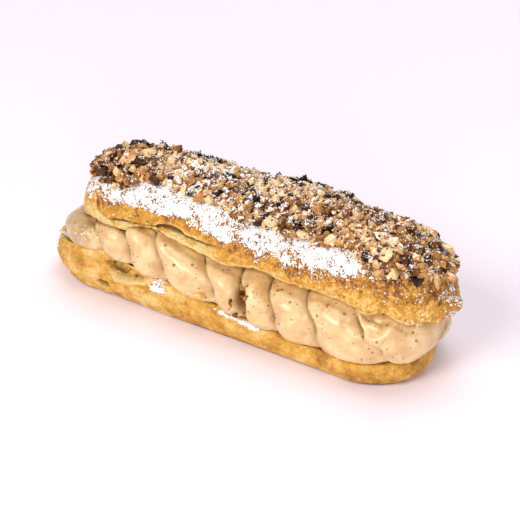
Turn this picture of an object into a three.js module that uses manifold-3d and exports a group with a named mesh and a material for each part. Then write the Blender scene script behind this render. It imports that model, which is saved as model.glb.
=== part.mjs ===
// A bar-shaped paris-brest: a choux base, a rope of piped praline cream, a choux lid
// and a crust of chopped nuts on the lid.
// Millimetres, +Z up. X runs along the bar, and -Y is the front, where the lid gapes most.
import * as THREE from "three";
import { mergeVertices } from "three/addons/utils/BufferGeometryUtils.js";
import Module from "manifold-3d";

// Driving dimensions of the whole bar
const GAP = 0.4; // clearance between neighbouring pieces
const TAPER = 0.08; // share by which the bar is narrower at its ends
const BEND = 3; // how far the ends curve towards the front
const HALF_BAR = 75; // distance from the middle at which taper and bend are stated

// Choux base: a low boat with a flat underside and a dished top
const BASE = { centreX: -1.2, length: 141, width: 43.6 };
const BASE_FLOOR_REACH = 0.74; // share of the half width that is flat underneath
const BASE_DISH = 0.72; // height of the dish's middle as a share of the rim's height
const RIM_X = [-73, -60, -45, -25, 0, 25, 45, 70];
const RIM_Z = [12, 17, 19.5, 15.5, 12.5, 9.3, 8.6, 10];
const TORN_HOLES = [
  { x: -37, z: 14.5, wide: 9, tall: 5.5 },
  { x: -43, z: 7, wide: 3.6, tall: 2.6 },
];

// Piped cream: one rope laid in coils, with the seams between the coils unevenly spaced
const CREAM = { centreX: 4.4, length: 142.4, width: 49.6 };
const CREAM_TOP_X = [-68, -52, -39, -27, -15, 78];
const CREAM_TOP_Z = [24, 27, 29, 33, 29, 28.5]; // highest where it wells up under the lid's notch
const CREAM_SINK = 4.5; // how far the rope dips below the base's rim
const CREAM_SQUARENESS = 2.5; // 2 is a round section, more is squarer
const CREAM_ROLL = 0.12; // how far the rope leans up towards the front, per millimetre of width
const COIL_DEPTH = 0.16; // depth of a seam as a share of the rope's radius
const SEAM_X = [-80, -67, -54.5, -42.7, -31.2, -19.6, 0.1, 11.1, 23.1, 38, 57, 80];

// Choux lid: a dome that is rolled back, so that its front edge stands higher than its back edge
const LID = { centreX: 8, length: 136, width: 41 };
const LID_EDGE = 24.6; // height of the lower edge, half way between front and back
const LID_RISE = 22.2; // from the lower edge to the crest
const LID_ROLL = 0.17; // how far the lid leans up towards the front, per millimetre of width
const LID_WAVE = 0.7; // unevenness of the lower edge
const LIP = { x: -9, halfLength: 11, share: 0.45, depth: 1.8 }; // split crust over the crumb
const NOTCH = { x: -25.5, halfLength: 13, share: 0.25, rise: 5 }; // raised stretch of the front edge
const NUB = { x: 76.6, y: -2, z: 30.5, radius: 2.3 }; // a stuck crumb on the lid's right end

// Nut crust: a sticky bed with chopped nuts standing out of it
const BED_DEPTH = 1.9;
const BED_EDGE_X = [-60, -45, 0, 38, 54, 76];
const BED_EDGE_REACH = [0.76, 0.72, 0.7, 0.72, 0.79, 0.72]; // share of the lid's half width
const CLUMP = { x: 21, halfLength: 18, depth: 1.5 }; // a thicker stretch of the bed
const NUT_COUNT = 125;
const NUT_RADIUS_LARGEST = 2.8;
const NUT_RADIUS_SMALLEST = 1.8;
const NUT_SPACING = 0.95; // least distance between neighbours, in radii of the newcomer
const NUT_EDGE = 0.03; // how far inside the bed's edge a nut's middle stays, as a share of reach
const NUT_SEAT = [0.65, 1.05]; // height of a nut's middle, as a share of the bed's depth
const NUT_CORNER = [0.78, 1.18]; // distance of a nut's corners, in radii
const NUT_PROPORTIONS = [1.2, 0.95, 0.75];
const NUT_SEED = 20;

// How finely the curved pieces are divided
const STEPS_AROUND = 60;
const DOME_STEPS = 8;
const ROPE_SIDES = 16;
const ROPE_STEPS = 70;
const ROPE_END_CROWDING = 0.35; // 0 spaces the steps evenly, 1 crowds them at the rope's ends

const { clamp, lerp, smoothstep, seededRandom } = THREE.MathUtils;
const wasm = await Module();
wasm.setup();

// A smooth curve through heights or widths stated at a few places along the bar
function along(places, values) {
  const curve = new THREE.CubicInterpolant(places, values, 1);
  return (x) => curve.evaluate(clamp(x, places[0], places.at(-1)))[0];
}
const rimHeight = along(RIM_X, RIM_Z);
const creamTop = along(CREAM_TOP_X, CREAM_TOP_Z);
const bedReach = along(BED_EDGE_X, BED_EDGE_REACH);
const seamNumber = along(SEAM_X, SEAM_X.map((place, number) => number));

// Taper and bend of the whole bar: where a plan point really lies across it
function settle(x, y) {
  const far = (x / HALF_BAR) ** 2;
  return y * (1 - TAPER * far) + BEND * (0.4 - far);
}

// Low bumps of a baked crust
function crustBump(x, y, z) {
  const coarse = Math.sin(0.21 * x + 1.1) * Math.sin(0.27 * y + 0.19 * z + 0.4);
  const fine = Math.sin(0.47 * x - 0.3 * z) * Math.cos(0.41 * y + 0.36 * z + 1.7);
  return 0.45 * coarse + 0.3 * fine;
}

// Seen from above each choux half is a bar with round ends
function halfStraight(bar) {
  return (bar.length - bar.width) / 2;
}

function outline(bar, outward) {
  const radius = bar.width / 2 + outward;
  const straight = halfStraight(bar);
  return new THREE.Path()
    .moveTo(0, -radius)
    .lineTo(straight, -radius)
    .absarc(straight, 0, radius, -Math.PI / 2, Math.PI / 2)
    .lineTo(-straight, radius)
    .absarc(-straight, 0, radius, Math.PI / 2, (3 * Math.PI) / 2)
    .lineTo(0, -radius);
}

// Sweeps a half section round the bar's outline. A section point is a reach, the share of the
// way from the bar's spine to its outline, and a height; shape says where the point comes to lie.
function sweepRound(section, bar, outward, shape) {
  const edge = outline(bar, outward).getSpacedPoints(STEPS_AROUND);
  const straight = halfStraight(bar);
  const turned = new THREE.LatheGeometry(
    section.map(([reach, height]) => new THREE.Vector2(reach, height)),
    STEPS_AROUND,
  );
  const points = turned.getAttribute("position");
  for (let i = 0; i < points.count; i++) {
    const rim = edge[Math.floor(i / section.length)];
    const [reach, height] = section[i % section.length];
    const spine = clamp(rim.x, -straight, straight);
    const x = bar.centreX + spine + reach * (rim.x - spine);
    points.setXYZ(i, ...shape(x, reach * rim.y, height, reach));
  }
  return turned;
}

// A closed geometry as a solid that can be joined and cut
function solidOf(geometry) {
  const shell = geometry.clone();
  shell.deleteAttribute("normal");
  shell.deleteAttribute("uv");
  const merged = mergeVertices(shell, 1e-4);
  const corners = merged.index.array;
  const triVerts = [];
  for (let i = 0; i < corners.length; i += 3) {
    const [a, b, c] = corners.subarray(i, i + 3);
    if (a !== b && b !== c && c !== a) triVerts.push(a, b, c);
  }
  return new wasm.Manifold(
    new wasm.Mesh({
      numProp: 3,
      vertProperties: merged.getAttribute("position").array,
      triVerts: new Uint32Array(triVerts),
    }),
  );
}

function geometryOf(solid) {
  const { vertProperties, triVerts } = solid.getMesh();
  const geometry = new THREE.BufferGeometry();
  geometry.setAttribute("position", new THREE.BufferAttribute(vertProperties, 3));
  geometry.setIndex(new THREE.BufferAttribute(triVerts, 1));
  geometry.computeVertexNormals();
  return geometry;
}

// Choux base, with outward and lift to grow it into a cutter for what lies on it
const BASE_SECTION = [
  [0, 0],
  [BASE_FLOOR_REACH / 2, 0],
  [BASE_FLOOR_REACH, 0],
  [0.88, 0.09],
  [0.965, 0.3],
  [1, 0.58],
  [0.985, 0.85],
  [0.94, 0.98],
  [0.88, 0.97],
  [0.75, 0.84],
  [0.45, BASE_DISH],
  [0, BASE_DISH],
];

function bareBase(outward = 0, lift = 0) {
  return solidOf(
    sweepRound(BASE_SECTION, BASE, outward, (x, y, height, reach) => {
      const z = height * rimHeight(x);
      const bump = height > 0 ? crustBump(x, y, z) * reach : 0;
      return [x, settle(x, y) + Math.sign(y) * bump, z + 0.5 * bump + lift];
    }),
  );
}

function chouxBase() {
  let base = bareBase();
  for (const hole of TORN_HOLES) {
    const tear = new THREE.IcosahedronGeometry(1, 1);
    tear.scale(hole.wide / 2, hole.tall / 2, hole.tall / 2);
    tear.translate(hole.x, settle(hole.x, -BASE.width / 2), hole.z);
    base = base.subtract(solidOf(tear));
  }
  return base;
}

// Choux lid, with outward and lift to grow it into a cutter for what it lies on or carries
const LID_SECTION = [
  [0, 0.06],
  [0.5, 0.05],
  [0.82, 0],
  [0.93, -0.03],
  [0.985, 0.02],
];
for (let step = 1; step <= DOME_STEPS; step++) {
  const slope = (Math.PI / 2) * (1 - step / DOME_STEPS) ** 1.1;
  LID_SECTION.push([Math.sin(slope), Math.cos(slope)]);
}

function lidLean(x, y) {
  const wave = Math.sin(0.19 * x + 0.6) + 0.6 * Math.sin(0.43 * x + 2);
  return -LID_ROLL * y + LID_WAVE * wave * Math.abs(y / LID.width);
}

// 1 over the middle of a stretch of the bar, and 0 beyond its ends
function near(x, stretch) {
  const away = Math.abs(x - stretch.x) / stretch.halfLength;
  return 1 - smoothstep(away, 0.4, 1);
}

function bareLid(outward = 0, lift = 0) {
  return solidOf(
    sweepRound(LID_SECTION, LID, outward, (x, y, height, reach) => {
      const frontEdge = y < 0 && reach > 0.8;
      const underLip = frontEdge && height < LIP.share ? near(x, LIP) : 0;
      const notched = frontEdge ? near(x, NOTCH) * Math.max(0, 1 - height / NOTCH.share) : 0;
      const z = LID_EDGE + LID_RISE * height + lidLean(x, y) + NOTCH.rise * notched;
      const bump = reach * crustBump(x, y, z);
      const across = settle(x, y) + LIP.depth * underLip + Math.sign(y) * bump;
      return [x, across, z + 0.4 * bump + lift];
    }),
  );
}

function chouxLid() {
  const nub = new THREE.IcosahedronGeometry(NUB.radius, 0);
  nub.translate(NUB.x, settle(NUB.x, NUB.y), NUB.z);
  return bareLid().add(solidOf(nub));
}

// The lid in plan: the nearest point of its spine, and the reach of a point from there
function lidSpine(x) {
  const straight = halfStraight(LID);
  return LID.centreX + clamp(x - LID.centreX, -straight, straight);
}

function lidReach(x, y) {
  return Math.hypot(x - lidSpine(x), y) / (LID.width / 2);
}

function lidTop(x, y) {
  const dome = Math.sqrt(Math.max(0, 1 - lidReach(x, y) ** 2));
  return LID_EDGE + LID_RISE * dome + lidLean(x, y);
}

// A point above or below the lid's top, measured square to the crust's slope
function aboveLid(x, y, distance) {
  const step = 0.05;
  const slopeX = (lidTop(x + step, y) - lidTop(x - step, y)) / (2 * step);
  const slopeY = (lidTop(x, y + step) - lidTop(x, y - step)) / (2 * step);
  const way = new THREE.Vector3(-slopeX, -slopeY, 1).normalize();
  return new THREE.Vector3(x, settle(x, y), lidTop(x, y)).addScaledVector(way, distance);
}

// Piped cream: a rope along X whose coils run round it as one screw, downwards to the right
function creamRope() {
  const rope = new THREE.SphereGeometry(1, ROPE_SIDES, ROPE_STEPS).rotateZ(Math.PI / 2);
  const points = rope.getAttribute("position");
  const straight = halfStraight(CREAM);
  for (let i = 0; i < points.count; i++) {
    const step = Math.floor(i / (ROPE_SIDES + 1)) / ROPE_STEPS;
    const turn = (i % (ROPE_SIDES + 1)) / ROPE_SIDES; // 0 is the front, a quarter is the top
    const station = lerp(2 * step - 1, -Math.cos(Math.PI * step), ROPE_END_CROWDING);
    const x = CREAM.centreX + (station * CREAM.length) / 2;
    const pastEnd = Math.max(0, Math.abs(x - CREAM.centreX) - straight) / (CREAM.width / 2);
    const rounding = Math.sqrt(Math.max(0, 1 - pastEnd * pastEnd));
    const share = (seamNumber(x) + turn) % 1;
    const bulge = Math.sqrt(1 - (2 * share - 1) ** 2);
    const size = rounding * (1 - COIL_DEPTH * (1 - bulge) * rounding);
    const across = -Math.cos(2 * Math.PI * turn);
    const upward = Math.sin(2 * Math.PI * turn);
    const squared = Math.abs(across) ** CREAM_SQUARENESS + Math.abs(upward) ** CREAM_SQUARENESS;
    const radius = size * squared ** (-1 / CREAM_SQUARENESS);
    const low = rimHeight(x) - CREAM_SINK;
    const high = creamTop(x);
    const y = (CREAM.width / 2) * across * radius;
    const z = (high + low) / 2 + ((high - low) / 2) * upward * radius - CREAM_ROLL * y;
    points.setXYZ(i, x, settle(x, y), z);
  }
  return solidOf(rope);
}

function pralineCream() {
  return creamRope().subtract(bareBase(GAP, GAP)).subtract(bareLid(GAP, -GAP));
}

// Nut crust: the sticky bed
function bedDepth(x) {
  return BED_DEPTH + CLUMP.depth * near(x, CLUMP);
}

const BED_SECTION = [
  [0, -2],
  [0.6, -2],
  [1, -2],
  [1, 0.55],
  [0.93, 0.85],
  [0.75, 1],
  [0.4, 1],
  [0, 1],
];

function nutBed() {
  return solidOf(
    sweepRound(BED_SECTION, LID, 0, (x, y, height) => {
      const spine = lidSpine(x);
      const share = bedReach(x);
      return aboveLid(spine + share * (x - spine), share * y, height * bedDepth(x)).toArray();
    }),
  );
}

// Chopped nuts, largest first, spread evenly by a low-discrepancy sequence
function choppedNut(centre, radius) {
  const chip = new THREE.IcosahedronGeometry(1, 0);
  chip.deleteAttribute("normal");
  chip.deleteAttribute("uv");
  const nut = mergeVertices(chip, 1e-4);
  const points = nut.getAttribute("position");
  for (let i = 0; i < points.count; i++) {
    const corner = new THREE.Vector3().fromBufferAttribute(points, i);
    corner.multiplyScalar(radius * lerp(...NUT_CORNER, seededRandom()));
    points.setXYZ(i, corner.x, corner.y, corner.z);
  }
  nut.scale(...NUT_PROPORTIONS);
  const turn = () => 2 * Math.PI * seededRandom();
  nut.applyMatrix4(new THREE.Matrix4().makeRotationFromEuler(new THREE.Euler(turn(), turn(), turn())));
  nut.translate(centre.x, centre.y, centre.z);
  return nut;
}

function nutCrust() {
  let crust = nutBed();
  const placed = [];
  seededRandom(NUT_SEED);
  const plastic = 1.32471795724; // its powers give the evenest spread over a plane
  for (let draw = 1; placed.length < NUT_COUNT; draw++) {
    const x = LID.centreX + LID.length * (((draw / plastic) % 1) - 0.5);
    const y = LID.length * (((draw / plastic ** 2) % 1) - 0.5);
    if (lidReach(x, y) > bedReach(x) - NUT_EDGE) continue;
    const radius = lerp(NUT_RADIUS_LARGEST, NUT_RADIUS_SMALLEST, placed.length / NUT_COUNT);
    const centre = aboveLid(x, y, bedDepth(x) * lerp(...NUT_SEAT, seededRandom()));
    if (placed.some((other) => other.distanceTo(centre) < NUT_SPACING * radius)) continue;
    placed.push(centre);
    crust = crust.add(solidOf(choppedNut(centre, radius)));
  }
  return crust.subtract(bareLid(GAP, GAP));
}

function piece(name, solid, color, roughness) {
  const finish = new THREE.MeshStandardMaterial({ color, roughness, metalness: 0 });
  const mesh = new THREE.Mesh(geometryOf(solid), finish);
  mesh.name = name;
  return mesh;
}

const pastry = new THREE.Group();
pastry.add(
  piece("choux_base", chouxBase(), 0xdca552, 0.7),
  piece("praline_cream", pralineCream(), 0xe2bd95, 0.45),
  piece("choux_lid", chouxLid(), 0xd39a4e, 0.75),
  piece("nut_crust", nutCrust(), 0x9a6a3c, 0.55),
);

// The origin is under the middle of the bar, on the surface that it stands on
const box = new THREE.Box3().setFromObject(pastry);
const middle = box.getCenter(new THREE.Vector3());
pastry.position.set(-middle.x, -middle.y, -box.min.z);

const parisBrest = new THREE.Group();
parisBrest.add(pastry);

export default parisBrest;
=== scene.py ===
"""A bar-shaped paris-brest: choux base, piped praline cream, sugared choux lid and chopped nuts.

Sizes in this file are in millimetres unless a name or comment says otherwise, and MM turns them
to Blender's metres. X runs along the bar, -Y is the front and +Z is up, as in the CAD frame.
"""
import math
from functools import partial

import bmesh
import bpy
import numpy as np
from bpy.props import FloatProperty, FloatVectorProperty, IntProperty, PointerProperty
from mathutils import Euler, Matrix, Vector, noise
from mathutils.bvhtree import BVHTree


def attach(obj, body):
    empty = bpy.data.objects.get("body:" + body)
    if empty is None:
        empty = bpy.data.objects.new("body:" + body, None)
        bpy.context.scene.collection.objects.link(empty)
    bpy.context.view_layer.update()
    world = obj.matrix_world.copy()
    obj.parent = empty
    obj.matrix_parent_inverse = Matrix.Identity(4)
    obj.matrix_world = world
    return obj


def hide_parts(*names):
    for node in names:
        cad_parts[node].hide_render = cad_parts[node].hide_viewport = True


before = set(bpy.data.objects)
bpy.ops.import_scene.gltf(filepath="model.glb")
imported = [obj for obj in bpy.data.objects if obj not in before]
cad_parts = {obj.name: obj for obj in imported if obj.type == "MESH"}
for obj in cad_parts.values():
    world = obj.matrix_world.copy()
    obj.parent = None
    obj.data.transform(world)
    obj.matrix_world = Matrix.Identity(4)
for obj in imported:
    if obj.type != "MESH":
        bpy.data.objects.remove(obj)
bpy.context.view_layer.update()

bl_info = {
    "name": "Bar-shaped paris-brest",
    "version": (1, 0, 0),
    "blender": (4, 5, 0),
    "location": "View3D > Sidebar > Pastry",
    "description": "Choux bar with piped praline cream, icing sugar and chopped nuts",
    "category": "Add Mesh",
}

MM = 0.001


# Curves and unevenness

def linear(code):
    """The linear colour of an sRGB hex value."""
    channels = [int(code[start:start + 2], 16) / 255 for start in (1, 3, 5)]
    return [c / 12.92 if c <= 0.04045 else ((c + 0.055) / 1.055) ** 2.4 for c in channels]


def along(places, values):
    """A smooth curve through values that are stated at a few places."""
    places = np.array(places, float)
    values = np.array(values, float)
    slopes = np.gradient(values, places)

    def curve(where):
        where = np.clip(where, places[0], places[-1])
        left = np.clip(np.searchsorted(places, where) - 1, 0, len(places) - 2)
        width = places[left + 1] - places[left]
        share = (where - places[left]) / width
        rest = 1 - share
        return (
            values[left] * (1 + 2 * share) * rest**2
            + slopes[left] * width * share * rest**2
            + values[left + 1] * (1 + 2 * rest) * share**2
            - slopes[left + 1] * width * rest * share**2
        )

    return curve


def step_up(value, low, high):
    """0 below low, 1 above high and smooth between them."""
    share = np.clip((value - low) / (high - low), 0, 1)
    return share * share * (3 - 2 * share)


def near(value, middle, half):
    """1 at the middle of a stretch and 0 beyond its ends."""
    return 1 - step_up(np.abs(value - middle) / half, 0.4, 1)


def hump(value, middle, half):
    """A bell that is 1 at the middle and fades over about twice half."""
    return np.exp(-(((value - middle) / half) ** 2))


def lumps(points, size, seed=0, octaves=1):
    """Unevenness from about -1 to 1 at each point, with bumps about size across."""
    spots = points / size + 17.3 * seed
    return np.array([noise.fractal(spot, 1.0, 2.0, octaves) for spot in spots.tolist()])


# The bar's plan

MIDDLE_X = -3.43
HALF_BAR = 75
TAPER = 0.08
BEND = 3
SHIFT_Y = 0.2


def settle(x, y):
    """Where a plan point lies across the bar once the bar tapers and bends."""
    far = ((x - MIDDLE_X) / HALF_BAR) ** 2
    return y * (1 - TAPER * far) + SHIFT_Y - BEND * far


def unsettle(x, y):
    """The plan point that settle brings to y."""
    far = ((x - MIDDLE_X) / HALF_BAR) ** 2
    return (y - SHIFT_Y + BEND * far) / (1 - TAPER * far)


class Bar:
    """A bar with round ends, seen from above."""

    def __init__(self, centre, length, width):
        self.centre = centre
        self.radius = width / 2
        self.straight = (length - width) / 2

    def spread(self, turn, reach):
        """Plan points at a share of the way from the spine to the outline.

        A turn of 0 is the middle of the front, a quarter is the right end.
        """
        arc = math.pi * self.radius
        way = (turn % 1) * (4 * self.straight + 2 * arc)
        right = np.clip(way - self.straight, 0, arc)
        left = np.clip(way - 3 * self.straight - arc, 0, arc)
        angle = (right + left) / self.radius - math.pi / 2
        there = np.minimum(way, self.straight)
        back = np.clip(way - self.straight - arc, 0, 2 * self.straight)
        again = np.clip(way - 3 * self.straight - 2 * arc, 0, self.straight)
        x = self.centre + there - back + again + reach * self.radius * np.cos(angle)
        return x, reach * self.radius * np.sin(angle)

    def spine(self, x):
        """The nearest place on the bar's spine."""
        return self.centre + np.clip(x - self.centre, -self.straight, self.straight)

    def reach(self, x, y):
        """How far out a plan point lies: 0 on the spine and 1 on the outline."""
        return np.hypot(x - self.spine(x), y) / self.radius


# Choux base

BASE = Bar(-4.63, 141, 43.6)
RIM_HEIGHT = along(
    [-76.4, -63.4, -48.4, -28.4, -3.4, 21.6, 41.6, 66.6],
    [12, 17, 19.5, 15.5, 12.5, 9.3, 8.6, 10],
)
BASE_SECTION_REACH = [0, 0.37, 0.74, 0.88, 0.965, 1, 0.985, 0.94, 0.88, 0.75, 0.45, 0]
BASE_SECTION_HEIGHT = [0, 0, 0, 0.09, 0.3, 0.58, 0.85, 0.98, 0.97, 0.84, 0.72, 0.72]
BASE_SECTION_PLACE = [0, 0.5, 1, 2, 3, 4, 5, 6, 7, 8, 9, 9.5]
TOP_OF_BASE = along([0, 0.45, 0.75, 0.88, 0.94, 0.985], [0.72, 0.72, 0.84, 0.97, 0.98, 0.85])
# Each torn hole's place along and up the front, its half width and half height, and its depth
TORN_HOLES = [(-39.6, 15.3, 3.6, 2.6, 2.2), (-33.8, 13.4, 1.1, 0.8, 0.9), (-46.8, 6.6, 2.8, 1.8, 1.9)]
SCAR = along([-44.5, -42.7, -41.2, -39.1, -35.8, -31.7, -27], [18, 14.1, 12.2, 11.6, 11.9, 12.9, 14.5])
SCAR_X, SCAR_HALF = -36, 11
WALL_SUGAR_X, WALL_SUGAR_Z = -24.4, 12.6
RIM_SUGAR_X, RIM_SUGAR_HALF = 6, 12
END_SUGAR = (-69, -14, 13.2)


def base_skin(turn, section):
    """The base, from the middle of its underside, up its wall and over its dished top."""
    place = section * BASE_SECTION_PLACE[-1]
    reach = along(BASE_SECTION_PLACE, BASE_SECTION_REACH)(place)
    height = np.maximum(along(BASE_SECTION_PLACE, BASE_SECTION_HEIGHT)(place), 0)
    x, y = BASE.spread(turn, reach)
    upturned = 2.0 * step_up(-x, 10, 55) * step_up(reach, 0.7, 0.95) * np.clip(1 - height / 0.7, 0, 1)
    return np.stack([x, settle(x, y), height * RIM_HEIGHT(x) + upturned], axis=1)


def base_relief(points, normals, turn, section):
    """The base's uneven crust with its torn holes and scar, its sugar, and how far it is baked."""
    x, y, z = points.T
    wall = step_up(z, 0.4, 2.5)
    front = step_up(-y, 2, 10)
    depth = wall * (0.45 * lumps(points, 11, 1) + 0.25 * lumps(points, 4, 2, 2))
    depth -= wall * 0.3 * step_up(lumps(points, 1.7, 3), 0.35, 0.7)
    creases = np.abs(lumps(points * (0.6, 1, 1.5), 7, 7, 2))
    depth -= 0.45 * wall * front * step_up(-x, -10, 25) * (1 - step_up(creases, 0, 0.2))
    rim = hump(z, 0.97 * RIM_HEIGHT(x), 1.2)
    depth += 0.5 * rim * lumps(points, 2.6, 4, 2)
    # Torn holes, with painted shade inside them
    hollow = np.zeros(len(x))
    ragged = 1 + 0.5 * lumps(points, 2.6, 5, 3)
    for middle_x, middle_z, half_wide, half_tall, deep in TORN_HOLES:
        away = np.hypot((x - middle_x) / half_wide, (z - middle_z) / half_tall) * ragged
        hole = front * (1 - step_up(away, 0.65, 1.05))
        depth -= deep * hole
        hollow = np.maximum(hollow, hole)
    # A scar where the skin has torn, sunk above its pale raised edge, with painted shade in the sunk part
    along_scar = front * near(x, SCAR_X, SCAR_HALF)
    over = z - SCAR(x) + 0.5 * lumps(points, 2.5, 9, 2)
    depth -= 1.3 * along_scar * step_up(over, -0.2, 0.6) * step_up(RIM_HEIGHT(x) - z, 0.0, 2.5)
    depth += 1.3 * along_scar * hump(over, -0.6, 0.8)
    torn = along_scar * np.maximum(1.4 * hump(over, -0.5, 0.9), 0.35 * step_up(over, 0, 1))
    hollow = np.maximum(hollow, 0.5 * along_scar * hump(over, 0.9, 0.7))
    hollow *= 1 - along_scar * hump(over, -0.4, 0.8)
    # Icing sugar that fell on the wall, on the rim and on the left end
    sugar = front * hump(x, WALL_SUGAR_X, 3.4) * hump(z, WALL_SUGAR_Z, 2.4)
    on_rim = 0.85 * front * near(x, RIM_SUGAR_X, RIM_SUGAR_HALF) * hump(z, 0.9 * RIM_HEIGHT(x), 0.8)
    end_x, end_y, end_z = END_SUGAR
    on_end = 1.2 * hump(x, end_x, 3) * hump(y, end_y, 5) * hump(z, end_z, 2)
    sugar = np.maximum(np.maximum(sugar, on_rim), on_end)
    bake = 0.44 + 0.08 * step_up(x, -30, 45) + 0.4 * lumps(points, 8, 6, 3) - 0.6 * torn
    bake += 0.8 * (1 - step_up(z, 0.2, 1.3))
    sugar *= 0.85 + 0.5 * lumps(points, 1.8, 10, 2)
    depth += 0.3 * step_up(sugar, 0.3, 0.8)
    return depth, {"sugar": sugar, "bake": bake, "hollow": hollow}


# Choux lid

LID = Bar(4.57, 136, 41)
LID_EDGE = 24.6
LID_RISE = 22.2
LID_ROLL = 0.17
LID_WAVE = 0.7
DOME_SLOPES = np.radians([84, 76, 67, 57, 46, 35, 24, 12, 0])
LID_SECTION_REACH = [0, 0.5, 0.82, 0.93, 0.975, *np.sin(DOME_SLOPES)]
LID_SECTION_HEIGHT = [0.06, 0.05, 0, -0.03, 0.005, *np.cos(DOME_SLOPES)]
LID_SECTION_PLACE = [0, 1, 1.7, 2.2, 2.7, 3.3, 4.3, 5.3, 6.3, 7.4, 8.4, 9.4, 10.3, 11]
UNDER_LID = along([0, 0.5, 0.82, 0.93, 0.985], [0.06, 0.05, 0, -0.03, 0.02])
FRONT_EDGE = along(
    [-60, -53, -37, -30, -26, -18, -8, 4, 10.5, 20, 37, 46, 51.5, 57, 64, 70],
    [27.3, 29.4, 29.5, 33, 33.4, 31.2, 29.7, 28.8, 30.8, 29.8, 29.6, 29.1, 27.7, 29.9, 26.6, 25.6],
)
LIP_EDGE = along(
    [-46, -41, -35.6, -32.8, -30.5, -27.2, -24.6, -21, -18, -15, -12.5, -8, -3, 2],
    [32.5, 33.3, 34.1, 33.4, 32.8, 34, 36.2, 37, 37.3, 36.3, 35.6, 35.4, 35, 36.5],
)
SUGAR_EDGE = along(
    [-60, -53, -49, -45, -36, -28, -21, -12, -6, -2, 4, 10, 14, 19, 24, 31, 38, 42.5, 48, 58],
    [34, 35.4, 36.6, 36.2, 37.5, 38, 38.5, 38, 36.8, 36.2]
    + [35.8, 35, 34.5, 34.6, 34.7, 35.1, 35.5, 37, 37.5, 38],
)
WRINKLES_X, WRINKLES_Z = -48, 36.5


def lid_lean(x, y):
    """How far the lid's roll and its waves raise a plan point."""
    from_middle = x - MIDDLE_X
    wave = np.sin(0.19 * from_middle + 0.6) + 0.6 * np.sin(0.43 * from_middle + 2)
    return -LID_ROLL * y + LID_WAVE * wave * np.abs(y / (2 * LID.radius))


def lid_rise(x, y, height):
    """How far the front of the lid's rim is raised to its edge line, most where the cream wells up."""
    front = step_up(-y / LID.radius, 0.45, 0.85)
    plain_edge = LID_EDGE + LID_RISE * min(LID_SECTION_HEIGHT) + lid_lean(x, -LID.radius)
    return (FRONT_EDGE(x) - plain_edge) * np.clip(1 - height / 0.35, 0, 1) * front


def lid_top(x, y):
    """The height of the lid's smooth dome."""
    dome = np.sqrt(np.maximum(0, 1 - LID.reach(x, y) ** 2))
    return LID_EDGE + LID_RISE * dome + lid_lean(x, y)


def lid_way(x, y):
    """The direction square to the lid's top at a plan point."""
    step = 0.05
    slope_x = (lid_top(x + step, y) - lid_top(x - step, y)) / (2 * step)
    slope_y = (lid_top(x, y + step) - lid_top(x, y - step)) / (2 * step)
    way = np.stack([-slope_x, -slope_y, np.ones_like(x)], axis=1)
    return way / np.linalg.norm(way, axis=1, keepdims=True)


def above_lid(x, y, distance):
    """Points at a distance from the lid's top, measured square to it."""
    top = np.stack([x, settle(x, y), lid_top(x, y)], axis=1)
    return top + lid_way(x, y) * np.reshape(distance, (-1, 1))


EDGE_PLACE = 2.7
UNTORN_PLACE = 4.5
EDGE_ROW, TORN_ROW, LIP_ROW = 0.22, 0.44, 0.54
FOLD_OUT = along([0, 0.25, 0.35, 0.6, 0.8, 1], [-0.5, -1.5, -1.7, -0.5, 0.6, 1.1])
FOLD_UP = along([0, 0.25, 0.35, 0.6, 0.8, 1], [-0.8, -0.2, 0.5, 0.4, -0.6, 0])


def torn_share(x, y):
    """1 where the lid's crust has split from the crumb below it and ends in a lip."""
    return step_up(x, -50, -43) * (1 - step_up(x, -8, 0)) * step_up(-y, 8, 13)


def lid_skin(turn, station):
    """The lid, from the middle of its underside to its crown.

    The rows between TORN_ROW and LIP_ROW fold in below the lip and out again to its edge.
    """
    x, y = LID.spread(turn, 0.97)
    torn = torn_share(x, y)
    line = np.stack([x, y, 0 * x], axis=1)
    lip_height = (LIP_EDGE(x) + 0.5 * lumps(line, 2.3, 1, 2) - LID_EDGE - lid_lean(x, y)) / LID_RISE
    lip_place = np.interp(lip_height, LID_SECTION_HEIGHT[4:], LID_SECTION_PLACE[4:])
    lip_place = UNTORN_PLACE + torn * (lip_place - UNTORN_PLACE)
    on_face = (station - EDGE_ROW) / (TORN_ROW - EDGE_ROW)
    on_dome = (station - LIP_ROW) / (1 - LIP_ROW)
    place = np.select(
        [station < EDGE_ROW, station < TORN_ROW, station < LIP_ROW],
        [EDGE_PLACE * station / EDGE_ROW, EDGE_PLACE + (lip_place - EDGE_PLACE) * on_face, lip_place],
        lip_place + (LID_SECTION_PLACE[-1] - lip_place) * on_dome,
    )
    fold = (station - TORN_ROW) / (LIP_ROW - TORN_ROW)
    fade = torn * step_up(on_face, 0.15, 1) * (1 - step_up(on_dome, 0, 0.2))
    reach = along(LID_SECTION_PLACE, LID_SECTION_REACH)(place) + fade * FOLD_OUT(fold) / LID.radius
    height = along(LID_SECTION_PLACE, LID_SECTION_HEIGHT)(place)
    x, y = LID.spread(turn, reach)
    rise = lid_rise(x, y, height) * step_up(reach, 0.75, 0.9)
    edge = step_up(0.12 - height, 0, 0.08) * step_up(reach, 0.8, 0.95)
    z = LID_EDGE + LID_RISE * height + lid_lean(x, y) + rise + fade * FOLD_UP(fold)
    z += 0.5 * edge * lumps(line, 3.5, 2, 3)
    return np.stack([x, settle(x, y), z], axis=1)


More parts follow.
